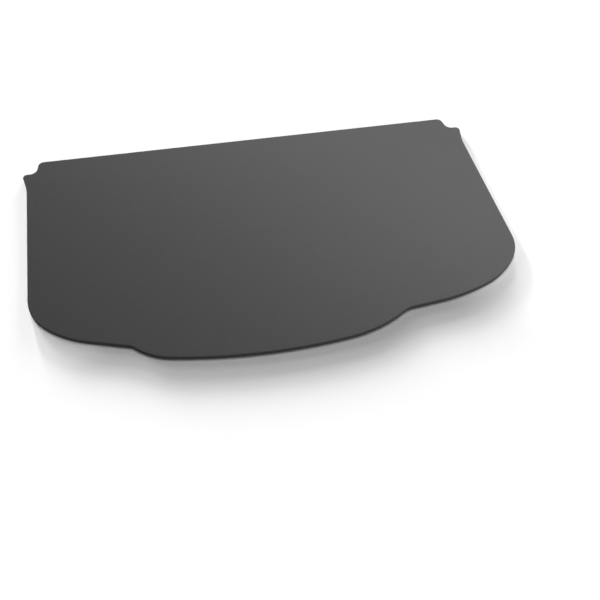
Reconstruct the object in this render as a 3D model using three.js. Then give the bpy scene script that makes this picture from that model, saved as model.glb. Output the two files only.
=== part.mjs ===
// Trunk mat: one sheet of short-pile velour on a firm backing, cut to the shape of a car's trunk floor.
//
// Millimetres, +Z up, lying flat as on the floor. The origin is on the underside, at the middle of the
// mat's box. +X runs across the width, and +Y towards the straight back edge, which meets the rear seats.
// The front edge, towards -Y, follows the tailgate sill and bulges forward left of the centre.
import * as THREE from 'three';

// The sheet and its edge
const thickness = 9;
const pileRound = 2;
const backingBevel = 0.8;

// Back edge, with a notch and a small ear at each end
const backEdgeLength = 931;
const backCornerRound = 12;
const notchLean = 6.5;
const notchDepth = 35.5;
const notchRound = 16;
const earShelf = 30;
const earRound = 9;
const earOverhang = 9.5;
const earLength = 45.5;
const flareRound = 130;

// Straight sides and the front corners, each turned in two bends
const sideLength = 351;
const sideBendRound = 96;
const cornerRun = 63;
const cornerDrop = 62;
const cornerBendRound = 190;

// Front edge, right of the bulge
const rightSweepRun = 90;
const rightSweepDrop = 33;
const rightSweepRound = 400;
const rightRootRun = 122;
const rightRootDrop = 12;
const rightRootRound = 55;
const rightShoulderRun = 65;
const rightShoulderDrop = 39.5;
const rightShoulderRound = 270;

// Front edge, left of the bulge
const leftRootRun = 120.5;
const leftRootDrop = 38.5;
const leftRootRound = 23;
const leftShoulderRun = 31.5;
const leftShoulderDrop = 31;
const leftShoulderRound = 122;

// The bulge's crown: how far left of the centre line it lies, and how far forward of the right shoulder
const crownOffset = 74;
const crownDrop = 24;
const crownRound = 1080;

// How finely the arcs are divided: the most that a facet may turn, and may stray from its arc
const facetTurn = 8;
const facetStray = 0.05;
const pileFacets = 4;

// How much of the straight between two corners their fillets may use
const filletShare = 0.98;

// A corner of the outline, before it is rounded.
function corner(x, y, round) {
  return { point: new THREE.Vector2(x, y), round };
}

// The next corner, run to the side and drop forward (-Y) of the one before.
function next(from, run, drop, round) {
  return corner(from.point.x + run, from.point.y - drop, round);
}

// One side of the mat, from the end of the back edge round to the front corner. Side is 1 right, -1 left.
function flank(side) {
  const backCorner = corner((side * backEdgeLength) / 2, 0, backCornerRound);
  const notch = next(backCorner, side * notchLean, notchDepth, notchRound);
  const ear = next(notch, side * earShelf, 0, earRound);
  const flare = next(ear, -side * earOverhang, earLength, flareRound);
  const sideBend = next(flare, 0, sideLength, sideBendRound);
  const cornerBend = next(sideBend, -side * cornerRun, cornerDrop, cornerBendRound);
  return [backCorner, notch, ear, flare, sideBend, cornerBend];
}

// All corners, clockwise seen from above, from the right end of the back edge to its left end.
function outlineCorners() {
  const rightFlank = flank(1);
  const leftFlank = flank(-1);

  const rightSweep = next(rightFlank.at(-1), -rightSweepRun, rightSweepDrop, rightSweepRound);
  const rightRoot = next(rightSweep, -rightRootRun, rightRootDrop, rightRootRound);
  const rightShoulder = next(rightRoot, -rightShoulderRun, rightShoulderDrop, rightShoulderRound);

  const leftRoot = next(leftFlank.at(-1), leftRootRun, leftRootDrop, leftRootRound);
  const leftShoulder = next(leftRoot, leftShoulderRun, leftShoulderDrop, leftShoulderRound);

  const crown = corner(-crownOffset, rightShoulder.point.y - crownDrop, crownRound);

  return [
    ...rightFlank,
    rightSweep, rightRoot, rightShoulder,
    crown,
    leftShoulder, leftRoot,
    ...leftFlank.reverse(),
  ];
}

// The angle, counter-clockwise positive, by which the outline turns at a corner.
function turnAt(before, at, after) {
  const incoming = at.point.clone().sub(before.point);
  const outgoing = after.point.clone().sub(at.point);
  return Math.atan2(incoming.cross(outgoing), incoming.dot(outgoing));
}

// A path of straights and tangent arcs past the corners. A fillet takes its round as long as the
// straights beside it have room for it and for their other corner's fillet. Each absarc draws the
// straight that leads to it.
function filletedPath(corners) {
  const count = corners.length;
  const turns = corners.map((at, i) => turnAt(corners.at(i - 1), at, corners[(i + 1) % count]));
  const reaches = corners.map((at, i) => at.round * Math.tan(Math.abs(turns[i]) / 2));
  const rooms = corners.map((at, i) => {
    const j = (i + 1) % count;
    return (filletShare * at.point.distanceTo(corners[j].point)) / (reaches[i] + reaches[j]);
  });

  const path = new THREE.Path();
  corners.forEach((at, i) => {
    const scale = Math.min(1, rooms.at(i - 1), rooms[i]);
    const round = at.round * scale;
    const along = at.point.clone().sub(corners.at(i - 1).point).normalize();
    const start = at.point.clone().addScaledVector(along, -reaches[i] * scale);

    // The arc's centre lies beside its start, on the side that the outline turns to.
    const hand = Math.sign(turns[i]);
    const toCentre = new THREE.Vector2(-along.y, along.x).multiplyScalar(hand);
    const centre = start.clone().addScaledVector(toCentre, round);
    const startAngle = Math.atan2(-toCentre.y, -toCentre.x);

    path.absarc(centre.x, centre.y, round, startAngle, startAngle + turns[i], hand < 0);
  });
  return path;
}

// Points round the path's arcs, each with the direction that points out of the mat there.
// The straights need no points of their own, and run between the arcs' ends.
function edgeStations(path) {
  return path.curves.filter((curve) => curve.isEllipseCurve).flatMap((arc) => {
    const sweep = arc.aEndAngle - arc.aStartAngle;
    const strayAngle = 2 * Math.acos(1 - Math.min(facetStray / arc.xRadius, 1));
    const facetAngle = Math.min(THREE.MathUtils.degToRad(facetTurn), strayAngle);
    const facets = Math.ceil(Math.abs(sweep) / facetAngle);
    return Array.from({ length: facets + 1 }, (_, i) => {
      const angle = arc.aStartAngle + (sweep * i) / facets;
      const radial = new THREE.Vector2(Math.cos(angle), Math.sin(angle));
      const point = new THREE.Vector2(arc.aX, arc.aY).addScaledVector(radial, arc.xRadius);
      return { point, outward: radial.multiplyScalar(arc.aClockwise ? 1 : -1) };
    });
  });
}

// The cut edge from the underside up, as how far it stands inside the outline and its height:
// the backing's small bevel, the upright cut, and the pile rounding over to the top.
function edgeSection() {
  const section = [
    { inset: backingBevel, height: 0 },
    { inset: 0, height: backingBevel },
  ];
  for (let i = 0; i <= pileFacets; i += 1) {
    const angle = ((Math.PI / 2) * i) / pileFacets;
    section.push({
      inset: pileRound * (1 - Math.cos(angle)),
      height: thickness - pileRound * (1 - Math.sin(angle)),
    });
  }
  return section;
}

// A closed sheet: the section carried round the outline, with a flat face across its first and last ring.
function sheetGeometry(stations, section) {
  const count = stations.length;
  const rings = section.map(({ inset }) => stations.map(({ point, outward }) => (
    point.clone().addScaledVector(outward, -inset)
  )));
  const positions = rings.flatMap((ring, level) => (
    ring.flatMap((point) => [point.x, point.y, section[level].height])
  ));

  const faces = [];
  for (let level = 0; level < rings.length - 1; level += 1) {
    for (let i = 0; i < count; i += 1) {
      const low = level * count + i;
      const lowNext = level * count + ((i + 1) % count);
      faces.push(low, lowNext, lowNext + count);
      faces.push(low, lowNext + count, low + count);
    }
  }

  const topStart = (rings.length - 1) * count;
  for (const [a, b, c] of THREE.ShapeUtils.triangulateShape(rings[0], [])) {
    faces.push(c, b, a);
  }
  for (const [a, b, c] of THREE.ShapeUtils.triangulateShape(rings.at(-1), [])) {
    faces.push(topStart + a, topStart + b, topStart + c);
  }

  const geometry = new THREE.BufferGeometry();
  geometry.setAttribute('position', new THREE.Float32BufferAttribute(positions, 3));
  geometry.setIndex(faces);
  geometry.computeVertexNormals();
  return geometry;
}

// The mat's outline is drawn from its back edge forwards, then moved so that its box is centred.
function matGeometry() {
  const stations = edgeStations(filletedPath(outlineCorners())).reverse();
  const geometry = sheetGeometry(stations, edgeSection());
  geometry.computeBoundingBox();
  const { min, max } = geometry.boundingBox;
  return geometry.translate(-(min.x + max.x) / 2, -(min.y + max.y) / 2, 0);
}

const velour = new THREE.MeshStandardMaterial({ color: 0x4f4f50, roughness: 0.95, metalness: 0 });

const mat = new THREE.Mesh(matGeometry(), velour);
mat.name = 'mat';

const group = new THREE.Group();
group.name = 'trunk_mat';
group.add(mat);

export default group;
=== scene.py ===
"""A velour trunk mat on a white studio floor, dressed over its CAD frame. Lengths are metres."""

import math

import bpy
import numpy as np
from mathutils import Matrix, Vector
from mathutils.geometry import delaunay_2d_cdt


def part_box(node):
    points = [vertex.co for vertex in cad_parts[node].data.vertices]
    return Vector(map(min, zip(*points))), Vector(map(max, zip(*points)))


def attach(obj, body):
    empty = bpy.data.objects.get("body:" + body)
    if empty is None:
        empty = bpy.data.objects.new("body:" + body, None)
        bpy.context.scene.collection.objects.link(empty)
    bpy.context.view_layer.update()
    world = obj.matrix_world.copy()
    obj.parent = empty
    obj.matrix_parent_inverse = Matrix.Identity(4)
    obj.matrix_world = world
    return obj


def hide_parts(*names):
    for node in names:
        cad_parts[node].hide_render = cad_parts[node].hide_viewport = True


MM = 0.001

# The edge's section, as built in the mesh
EDGE_PITCH = 0.9 * MM        # between columns of vertices round the edge
OUTLINE_SMOOTHING = 1.2 * MM
LOWER_BEVEL = 0.8 * MM
PILE_ROUND = 0.9 * MM        # the pile's top edge rolls over by this
LEVEL_STRIP = 0.5 * MM       # of flat pile inside the roll
WALL_ROWS = 7
ROLL_ROWS = 6

# Relief of the pile
TUFT_REACH = 0.28 * MM       # how far tufts stand out of the cut edge, at most
TUFT_WIDTH = 1.3 * MM        # about three times the smoothing that shapes a tuft
LEAN_WIDTH = 9.0 * MM        # the smoothing of the slower waves in the cut edge
TUFT_PART = 0.75             # of the reach that is tufts, where the rest is lean
TOP_TUFT_SHARE = 0.2         # of the reach that is left where the roll meets the top
CROWN_RELIEF = 0.10 * MM     # slow rise and fall of the pile's top
CROWN_WAVES = 14
SHORTEST_WAVE, LONGEST_WAVE = 0.05, 0.22

# The flat faces: how far apart their vertices are, and how far they keep from the edge's own
TOP_PITCH, TOP_CLEAR = 5.0 * MM, 4.0 * MM
UNDER_PITCH, UNDER_CLEAR = 20.0 * MM, 8.0 * MM

# Material slots of the mat, and the display grey of each, from 0 to 255
PILE_SLOT, CUT_SLOT, BACKING_SLOT = 0, 1, 2
PILE_GREY, CUT_GREY, BACKING_GREY = 81, 78, 45

# The photograph's view: direction from the mat to the camera, turn about the line of sight, and place
VIEW_ELEVATION = math.radians(51.031)
VIEW_AZIMUTH = math.radians(-15.371)
VIEW_ROLL = math.radians(3.815)
CAMERA_PLACE = Vector((-0.2383, -1.1135, 1.1955))
SENSOR_WIDTH = 36.0
FOCAL_SHARE = 791.0 / 600.0  # focal length over the picture's width

FLOOR_HALF = 30.0
FLOOR_DROP = 0.2 * MM        # keeps the floor clear of the underside
POOL_LAMP_HEIGHT = 2.0       # of the spots that thin the shadow at the front corners
POOL_LAMP_RADIUS = 0.02
SKY_LEVEL = 0.13             # of the floor's white, from all round

RANDOM = np.random.RandomState(7)


def smoothed(values, sigma, pitch):
    """A closed row of values, smoothed by a Gaussian of the given width along the row."""
    count = len(values)
    frequency = np.fft.fftfreq(count, pitch)
    gain = np.exp(-2 * (math.pi * sigma * frequency) ** 2)
    if values.ndim == 2:
        gain = gain[:, None]
    return np.real(np.fft.ifft(np.fft.fft(values, axis=0) * gain, axis=0))


def enclosed(ring):
    """The area inside a closed ring, positive where the ring runs counter-clockwise."""
    x, y = ring.T
    return 0.5 * (x @ np.roll(y, -1) - y @ np.roll(x, -1))


def cad_outline(node):
    """The CAD node's widest outline, counter-clockwise, from the edges of its highest full-width ring."""
    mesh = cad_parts[node].data
    points = np.array([v.co for v in mesh.vertices], float)
    level_of = np.round(points[:, 2], 5)
    widths = {z: np.ptp(points[level_of == z, 0]) for z in np.unique(level_of)}
    level = max(z for z, width in widths.items() if width > max(widths.values()) - 1e-6)
    key_of = [tuple(np.round(p, 6)) for p in points]
    following = {}
    for a, b in (e.vertices for e in mesh.edges):
        if level_of[a] == level and level_of[b] == level and key_of[a] != key_of[b]:
            following.setdefault(key_of[a], set()).add(key_of[b])
            following.setdefault(key_of[b], set()).add(key_of[a])
    start = min(following)
    ring, before, at = [start], None, start
    while True:
        ahead = next(k for k in sorted(following[at]) if k != before)
        if ahead == start:
            break
        ring.append(ahead)
        before, at = at, ahead
    ring = np.array(ring)[:, :2]
    return ring if enclosed(ring) > 0 else ring[::-1]


def walked(ring, pitch):
    """The ring at an even pitch with its facets smoothed out, and the outward direction at each point."""
    closed = np.vstack([ring, ring[:1]])
    along = np.concatenate([[0], np.cumsum(np.linalg.norm(np.diff(closed, axis=0), axis=1))])
    count = int(round(along[-1] / pitch))
    stations = np.arange(count) * along[-1] / count
    points = np.column_stack([np.interp(stations, along, closed[:, i]) for i in (0, 1)])
    points = smoothed(points, OUTLINE_SMOOTHING, pitch)
    forward = np.roll(points, -1, axis=0) - np.roll(points, 1, axis=0)
    forward /= np.linalg.norm(forward, axis=1)[:, None]
    return points, np.column_stack([forward[:, 1], -forward[:, 0]])


def inside(points, ring):
    """Which points lie inside the ring, by counting the ring's edges to the right of each."""
    found = np.zeros(len(points), bool)
    for (x0, y0), (x1, y1) in zip(ring, np.roll(ring, -1, axis=0)):
        if y0 == y1:
            continue
        crosses = (points[:, 1] < y0) != (points[:, 1] < y1)
        at = x0 + (points[:, 1] - y0) * (x1 - x0) / (y1 - y0)
        found ^= crosses & (points[:, 0] < at)
    return found


def filled(ring, pitch, clear):
    """A flat triangle mesh inside the ring: its points, the ring's first, and its triangles."""
    low, high = ring.min(0), ring.max(0)
    rows = np.arange(low[1] + clear, high[1] - clear, pitch * math.sqrt(3) / 2)
    grid = np.array([
        (x + (pitch / 2 if i % 2 else 0), y)
        for i, y in enumerate(rows)
        for x in np.arange(low[0] + clear, high[0] - clear, pitch)
    ])
    # About 400 points of the ring are enough for this, because the grid then keeps clear of it
    thinned = ring[:: max(1, len(ring) // 400)]
    grid = grid[inside(grid, thinned)]
    distance = np.min([np.hypot(grid[:, 0] - x, grid[:, 1] - y) for x, y in ring[::4]], axis=0)
    grid = grid[distance > clear]
    points = [Vector(p) for p in np.vstack([ring, grid])]
    count = len(ring)
    edges = [(i, (i + 1) % count) for i in range(count)]
    _, _, faces, origins, _, _ = delaunay_2d_cdt(points, edges, [], 1, 1e-7)
    return np.array(points, float), [[origins[i][0] for i in face] for face in faces]


def slow_relief(points):
    """A smooth rise and fall from a few crossed waves, from -1 to 1, with no repeat over the mat."""
    total = np.zeros(len(points))
    for _ in range(CROWN_WAVES):
        length = RANDOM.uniform(SHORTEST_WAVE, LONGEST_WAVE)
        heading = RANDOM.uniform(0, math.pi)
        phase = RANDOM.uniform(0, 2 * math.pi)
        wave = points[:, 0] * math.cos(heading) + points[:, 1] * math.sin(heading)
        total += np.sin(2 * math.pi * wave / length + phase)
    return total / np.abs(total).max()


def random_row(count, width):
    """A closed row of random values, smoothed over the given width and reaching -1 or 1."""
    row = smoothed(RANDOM.uniform(-1, 1, count), width, EDGE_PITCH)
    return row / np.abs(row).max()


def edge_rings(node, thickness):
    """The rings of points round the edge, from the underside up over the roll to the level strip."""
    outline, outward = walked(cad_outline(node), EDGE_PITCH)
    count = len(outline)
    tufts = random_row(count, TUFT_WIDTH / 3)
    lean = random_row(count, LEAN_WIDTH)
    stand = TUFT_REACH * (TUFT_PART * tufts + (1 - TUFT_PART) * lean)

    # Each row is an inset, a height, and how much of the tufts' reach it takes
    rows = [(LOWER_BEVEL, 0.0, 0.0), (0.0, LOWER_BEVEL, 0.0)]
    wall_top = thickness - PILE_ROUND
    for i in range(1, WALL_ROWS + 1):
        share = i / WALL_ROWS
        rows.append((0.0, LOWER_BEVEL + share * (wall_top - LOWER_BEVEL), share))
    for i in range(1, ROLL_ROWS + 1):
        angle = 0.5 * math.pi * i / ROLL_ROWS
        inset = PILE_ROUND * (1 - math.cos(angle))
        height = wall_top + PILE_ROUND * math.sin(angle)
        rows.append((inset, height, 1 - (1 - TOP_TUFT_SHARE) * i / ROLL_ROWS))
    # The level strip ends the roll's shading where the roll ends
    rows.append((PILE_ROUND + LEVEL_STRIP, thickness, TOP_TUFT_SHARE))

    rings = []
    for inset, height, share in rows:
        flat = outline + outward * (share * stand - inset)[:, None]
        rings.append(np.column_stack([flat, np.full(count, height)]))
    return rings


def mat_mesh(node):
    """The mat as one closed mesh: underside, lower bevel, tufted cut edge, roll and top."""
    low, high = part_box(node)
    thickness = high.z - low.z
    rings = edge_rings(node, thickness)
    count = len(rings[0])

    top_flat, top_faces = filled(rings[-1][:, :2], TOP_PITCH, TOP_CLEAR)
    under_flat, under_faces = filled(rings[0][:, :2], UNDER_PITCH, UNDER_CLEAR)
    inner = top_flat[count:]
    rise = CROWN_RELIEF * (slow_relief(inner) - 1) * 0.5
    top_inner = np.column_stack([inner, thickness + rise])
    under_inner = np.column_stack([under_flat[count:], np.zeros(len(under_flat) - count)])

    vertices = np.vstack([*rings, top_inner, under_inner])
    top_start = (len(rings) - 1) * count
    inner_start = len(rings) * count
    under_start = inner_start + len(top_inner)

    faces, materials = [], []
    following = (np.arange(count) + 1) % count
    for level in range(len(rings) - 1):
        here, above = level * count, (level + 1) * count
        faces += [(here + i, here + j, above + j, above + i) for i, j in enumerate(following)]
        edge_slot = CUT_SLOT if level > 0 else BACKING_SLOT
        materials += [PILE_SLOT if level > WALL_ROWS else edge_slot] * count
    top_index = [top_start + i if i < count else inner_start + i - count for i in range(len(top_flat))]
    under_index = [i if i < count else under_start + i - count for i in range(len(under_flat))]
    faces += [tuple(top_index[i] for i in face) for face in top_faces]
    materials += [PILE_SLOT] * len(top_faces)
    faces += [tuple(under_index[i] for i in reversed(face)) for face in under_faces]
    materials += [BACKING_SLOT] * len(under_faces)

    mesh = bpy.data.meshes.new("trunk_mat")
    mesh.from_pydata([tuple(v) for v in vertices], [], faces)
    mesh.polygons.foreach_set("material_index", materials)
    mesh.polygons.foreach_set("use_smooth", [True] * len(faces))
    mesh.update()
    return mesh


def grey(level):
    """A neutral linear colour from its 0 to 255 display value."""
    share = level / 255
    linear = share / 12.92 if share <= 0.04045 else ((share + 0.055) / 1.055) ** 2.4
    return (linear, linear, linear)


class Nodes:
    """A short way to build a node tree, of a material or of the world."""

    def __init__(self, owner):
        owner.use_nodes = True
        self.owner = owner
        self.tree = owner.node_tree
        self.shader = self.tree.nodes.get("Principled BSDF")

    def add(self, kind, inputs=None, **settings):
        """A new node with its settings. Each input takes a value, or the socket that feeds it."""
        node = self.tree.nodes.new(kind)
        for name, value in settings.items():
            setattr(node, name, value)
        for name, value in (inputs or {}).items():
            if isinstance(value, bpy.types.NodeSocket):
                self.tree.links.new(value, node.inputs[name])
            else:
                node.inputs[name].default_value = value
        return node

    def link(self, socket, name):
        """Feed the shader's named input from the socket."""
        self.tree.links.new(socket, self.shader.inputs[name])

    def fix(self, constants):
        """Set the shader's inputs that are the same everywhere."""
        for name, value in constants.items():
            self.shader.inputs[name].default_value = value

    def place(self):
        """The place on the object, in metres."""
        return self.add("ShaderNodeTexCoord").outputs["Object"]

    def noise(self, vector, scale, detail, roughness=0.5):
        """A noise's outputs."""
        return self.add("ShaderNodeTexNoise", {"Vector": vector, "Scale": scale, "Detail": detail,
                                               "Roughness": roughness}).outputs

    def spread(self, value, least, most, low=0.3, high=0.7):
        """The value carried from low..high, by default where most of a noise lies, to least..most."""
        return self.add("ShaderNodeMapRange", {"Value": value, "From Min": low, "From Max": high,
                                               "To Min": least, "To Max": most}).outputs["Result"]

    def math(self, operation, a, b):
        """The result of one operation on two values."""
        return self.add("ShaderNodeMath", {0: a, 1: b}, operation=operation).outputs["Value"]

    def tint(self, level, tone):
        """The base colour: a display grey, lightened and darkened by the tone."""
        colour = self.add("ShaderNodeVectorMath", {0: grey(level), "Scale": tone}, operation="SCALE")
        self.link(colour.outputs["Vector"], "Base Color")

    def bump(self, height, strength, distance, under=None):
        """A normal tilted by the height's slopes, on top of another bump's normal if one is given."""
        inputs = {"Height": height, "Strength": strength, "Distance": distance}
        if under:
            inputs["Normal"] = under
        return self.add("ShaderNodeBump", inputs).outputs["Normal"]


def velour_material():
    """Cut pile seen from above: fine fibre tips, gathered in small uneven tufts and clumps."""
    n = Nodes(bpy.data.materials.new("velour_pile"))
    place = n.place()
    sway = n.noise(place, scale=260.0, detail=2.0)["Color"]
    shift = n.add("ShaderNodeVectorMath", {0: sway, "Scale": 2.0 * MM}, operation="SCALE").outputs["Vector"]
    combed = n.add("ShaderNodeVectorMath", {0: place, 1: shift}, operation="ADD").outputs["Vector"]
    tuft = n.add("ShaderNodeTexVoronoi", {"Vector": combed, "Scale": 1150.0}).outputs["Color"]
    tuft_grey = n.add("ShaderNodeRGBToBW", {"Color": tuft}).outputs["Val"]
    clump = n.noise(combed, scale=900.0, detail=4.0, roughness=0.75)["Fac"]
    fibre = n.noise(place, scale=2900.0, detail=3.0, roughness=0.7)["Fac"]
    mottle = n.noise(place, scale=16.0, detail=3.0)["Fac"]

    tuft_tone = n.spread(tuft_grey, least=0.96, most=1.04, low=0.2, high=0.8)
    clump_tone = n.spread(clump, least=0.78, most=1.22)
    fibre_tone = n.spread(fibre, least=0.66, most=1.34)
    mottle_tone = n.spread(mottle, least=0.99, most=1.01)
    coarse_tone = n.math("MULTIPLY", tuft_tone, clump_tone)
    fine_tone = n.math("MULTIPLY", fibre_tone, mottle_tone)
    n.tint(PILE_GREY, n.math("MULTIPLY", coarse_tone, fine_tone))
    n.link(n.spread(fibre, least=0.86, most=1.0), "Roughness")
    fine = n.bump(fibre, strength=0.6, distance=0.3 * MM)
    n.link(n.bump(clump, strength=0.5, distance=0.5 * MM, under=fine), "Normal")
    n.fix({"Specular IOR Level": 0.08, "Sheen Weight": 0.12, "Sheen Roughness": 0.5})
    return n.owner


def cut_edge_material():
    """The sheared side of the pile: darker, with the fibres standing upright."""
    n = Nodes(bpy.data.materials.new("pile_cut_edge"))
    upright = n.add("ShaderNodeMapping", {"Vector": n.place(), "Scale": (1.0, 1.0, 0.12)})
    fibre = n.noise(upright.outputs["Vector"], scale=1500.0, detail=3.0, roughness=0.7)["Fac"]
    n.tint(CUT_GREY, n.spread(fibre, least=0.7, most=1.3))
    n.link(n.bump(fibre, strength=0.5, distance=0.4 * MM), "Normal")
    n.fix({"Roughness": 1.0, "Specular IOR Level": 0.1})
    return n.owner


def backing_material():
    """The firm granular backing that grips the trunk floor."""
    n = Nodes(bpy.data.materials.new("firm_backing"))
    place = n.place()
    grain = n.add("ShaderNodeTexVoronoi", {"Vector": place, "Scale": 420.0}).outputs["Distance"]
    fine = n.noise(place, scale=1100.0, detail=2.0)["Fac"]
    n.tint(BACKING_GREY, n.spread(fine, least=0.85, most=1.15))
    n.link(n.bump(grain, strength=0.6, distance=0.5 * MM), "Normal")
    n.fix({"Roughness": 0.8, "Specular IOR Level": 0.3})
    return n.owner


def build_mat():
    """The velour sheet, which stands for the CAD's plain one."""
    mesh = mat_mesh("mat")
    for material in (velour_material(), cut_edge_material(), backing_material()):
        mesh.materials.append(material)
    piece = bpy.data.objects.new("velour_mat", mesh)
    bpy.context.scene.collection.objects.link(piece)
    area = enclosed(cad_outline("mat"))
    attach(piece, "root")
    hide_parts("mat")
    return piece


def seen_by_eye(n):
    """1 for a ray from the camera, straight or by way of metal or glass, and 0 for other light."""
    path = n.add("ShaderNodeLightPath").outputs
    straight_or_gloss = n.math("MAXIMUM", path["Is Camera Ray"], path["Is Glossy Ray"])
    return n.math("MAXIMUM", straight_or_gloss, path["Is Transmission Ray"])


def build_floor():
    """A white floor. The camera sees it white, and darker only where the mat shades it."""
    mesh = bpy.data.meshes.new("floor")
    signs = [(-1, -1), (1, -1), (1, 1), (-1, 1)]
    mesh.from_pydata([(x * FLOOR_HALF, y * FLOOR_HALF, 0) for x, y in signs], [], [(0, 1, 2, 3)])
    floor = bpy.data.objects.new("floor", mesh)
    floor.location.z = -FLOOR_DROP
    bpy.context.scene.collection.objects.link(floor)
    n = Nodes(bpy.data.materials.new("white_floor"))
    n.tree.nodes.remove(n.shader)
    plain = n.add("ShaderNodeBsdfDiffuse", {"Color": (0.8, 0.8, 0.8, 1)}).outputs["BSDF"]
    shown = n.add("ShaderNodeBsdfDiffuse", {"Color": (1.0, 1.0, 1.0, 1)}).outputs["BSDF"]
    mixed = n.add("ShaderNodeMixShader", {0: seen_by_eye(n), 1: plain, 2: shown}).outputs["Shader"]
    n.tree.links.new(mixed, n.tree.nodes["Material Output"].inputs["Surface"])
    mesh.materials.append(n.owner)
    return floor


def add_lamp(name, kind, energy, lit):
    """A lamp that lights one object only. Every object still casts its shadow."""
    lamp = bpy.data.objects.new(name, bpy.data.lights.new(name, kind))
    lamp.data.energy = energy
    bpy.context.scene.collection.objects.link(lamp)
    receivers = bpy.data.collections.new(name + "_receivers")
    receivers.objects.link(lit)
    lamp.light_linking.receiver_collection = receivers
    return lamp


def aim(lamp, towards):
    """Turn the lamp to shine from the direction given, which points from what it lights to the lamp."""
    lamp.rotation_euler = towards.to_track_quat("Z", "Y").to_euler()


def add_sun(name, azimuth, elevation, width, share, floor):
    """A distant lamp for the floor alone. Angles are degrees, azimuth from +X towards +Y, and width is
    how wide the lamp looks. Share is the part of the floor's white that it gives."""
    e, a = math.radians(elevation), math.radians(azimuth)
    lamp = add_lamp(name, "SUN", share * math.pi / math.sin(e), floor)
    lamp.data.angle = math.radians(width)
    aim(lamp, Vector((math.cos(a) * math.cos(e), math.sin(a) * math.cos(e), math.sin(e))))


def add_pool(name, centre, radius, share, floor):
    """A spot straight above the floor, fading out from its centre to its radius."""
    lamp = add_lamp(name, "SPOT", share * 4 * math.pi ** 2 * POOL_LAMP_HEIGHT ** 2, floor)
    lamp.data.spot_size = 2 * math.atan(radius / POOL_LAMP_HEIGHT)
    lamp.data.spot_blend = 1.0
    lamp.data.shadow_soft_size = POOL_LAMP_RADIUS
    lamp.location = (*centre, POOL_LAMP_HEIGHT)


def add_softbox(name, place, target, size, energy, mat):
    """A rectangular lamp for the mat alone, turned to its target."""
    lamp = add_lamp(name, "AREA", energy, mat)
    lamp.data.shape = "RECTANGLE"
    lamp.data.size, lamp.data.size_y = size
    lamp.location = place
    aim(lamp, Vector(place) - Vector(target))


def light_floor(floor):
    """Lamps low behind the mat draw its long soft shadow, and the others keep the floor white round it."""
    add_sun("low_right", azimuth=70, elevation=6, width=10, share=0.12, floor=floor)
    add_sun("low_behind", azimuth=100, elevation=5, width=5, share=0.22, floor=floor)
    add_sun("low_left", azimuth=112, elevation=6.5, width=10, share=0.22, floor=floor)
    add_sun("broad_left", azimuth=125, elevation=13, width=20, share=0.13, floor=floor)
    add_sun("overhead", azimuth=90, elevation=70, width=30, share=0.20, floor=floor)
    add_pool("right_corner", centre=(0.60, 0.0), radius=0.40, share=0.45, floor=floor)
    add_pool("left_corner", centre=(-0.42, -0.20), radius=0.08, share=0.09, floor=floor)


def light_mat(mat):
    """The main softbox behind, a weaker one to the right, and a low one that lifts the front edge."""
    add_softbox("back_softbox", (0.16, 1.17, 0.81), (0, 0, 0), (0.8, 0.8), 18.3, mat)
    add_softbox("right_softbox", (0.48, -0.07, 0.5), (0, 0, 0), (0.8, 0.8), 3.9, mat)
    add_softbox("front_softbox", (1.6, -2.0, 0.24), (0, -0.1, 0), (1.2, 0.4), 12.0, mat)


def build_world():
    """A weak even light from all round, which the camera sees as plain white."""
    world = bpy.data.worlds.new("studio")
    bpy.context.scene.world = world
    n = Nodes(world)
    background = n.tree.nodes["Background"]
    background.inputs["Color"].default_value = (1, 1, 1, 1)
    level = n.spread(seen_by_eye(n), least=SKY_LEVEL, most=1.0, low=0.0, high=1.0)
    n.tree.links.new(level, background.inputs["Strength"])


def build_camera():
    """The photograph's camera."""
    back = Vector((
        math.sin(VIEW_AZIMUTH) * math.cos(VIEW_ELEVATION),
        -math.cos(VIEW_AZIMUTH) * math.cos(VIEW_ELEVATION),
        math.sin(VIEW_ELEVATION),
    ))
    right = (-back).cross(Vector((0, 0, 1))).normalized()
    up = right.cross(-back)
    turned_right = right * math.cos(VIEW_ROLL) + up * math.sin(VIEW_ROLL)
    turned_up = up * math.cos(VIEW_ROLL) - right * math.sin(VIEW_ROLL)
    data = bpy.data.cameras.new("camera")
    data.sensor_width = SENSOR_WIDTH
    data.lens = FOCAL_SHARE * SENSOR_WIDTH
    data.clip_start, data.clip_end = 0.01, 200.0
    camera = bpy.data.objects.new("camera", data)
    rotation = Matrix((turned_right, turned_up, back)).transposed()
    camera.matrix_world = Matrix.Translation(CAMERA_PLACE) @ rotation.to_4x4()
    bpy.context.scene.collection.objects.link(camera)
    bpy.context.scene.camera = camera


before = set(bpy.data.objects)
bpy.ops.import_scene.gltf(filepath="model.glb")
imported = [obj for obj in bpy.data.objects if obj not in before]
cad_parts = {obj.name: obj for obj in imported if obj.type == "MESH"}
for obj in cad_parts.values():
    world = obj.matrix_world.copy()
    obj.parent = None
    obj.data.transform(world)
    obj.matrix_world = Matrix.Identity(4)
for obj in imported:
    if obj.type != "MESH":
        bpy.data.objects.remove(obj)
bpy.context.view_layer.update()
build_camera()
mat = build_mat()
floor = build_floor()
light_floor(floor)
light_mat(mat)
build_world()
bpy.context.scene.view_settings.view_transform = "Standard"
